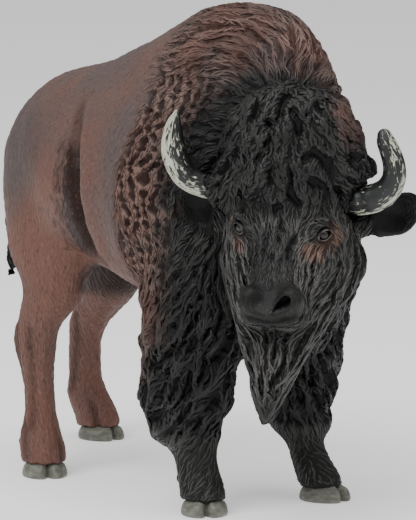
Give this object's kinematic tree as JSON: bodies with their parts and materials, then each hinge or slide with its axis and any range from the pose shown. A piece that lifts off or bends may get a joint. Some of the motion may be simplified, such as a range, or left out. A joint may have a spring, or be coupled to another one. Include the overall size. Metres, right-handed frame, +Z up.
{
  "type": "toy american bison figurine",
  "caption": "Moulded, hand-painted animal figurine of a walking American bison bull with a woolly cape, a beard, curved horns and its head turned to its right.",
  "frame": {"origin": "middle of the figurine's box, on the floor it stands on", "axes": "+Z up; the bull faces -Y, so its left side is at +X; +Y along the body towards the tail"},
  "size_m": [0.0456, 0.1226, 0.0924],
  "materials": {
    "brown_coat": "matte reddish brown paint on soft vinyl, mottled darker",
    "black_wool": "matte black paint, dry-brushed grey on the raised hair",
    "hoof_grey": "matte grey paint",
    "horn_paint": "black paint with cream dry-brushed streaks",
    "eye_gloss": "black gloss paint"
  },
  "bodies": {
    "root": {"barrel": "brown_coat", "beard": "black_wool", "ear_left": "black_wool", "ear_right": "black_wool", "eye_left": "eye_gloss", "eye_right": "eye_gloss", "front_left_hoof": "hoof_grey", "front_left_lower_leg": "black_wool", "front_left_upper_leg": "black_wool", "front_right_hoof": "hoof_grey", "front_right_lower_leg": "black_wool", "front_right_upper_leg": "black_wool", "head": "black_wool", "hind_left_hoof": "hoof_grey", "hind_left_lower_leg": "brown_coat", "hind_left_upper_leg": "brown_coat", "hind_right_hoof": "hoof_grey", "hind_right_lower_leg": "brown_coat", "hind_right_upper_leg": "brown_coat", "hindquarters": "brown_coat", "horn_left": "horn_paint", "horn_right": "horn_paint", "neck": "black_wool", "shoulders": "brown_coat", "tail": "brown_coat", "tail_tuft": "black_wool"}
  },
  "joints": []
}
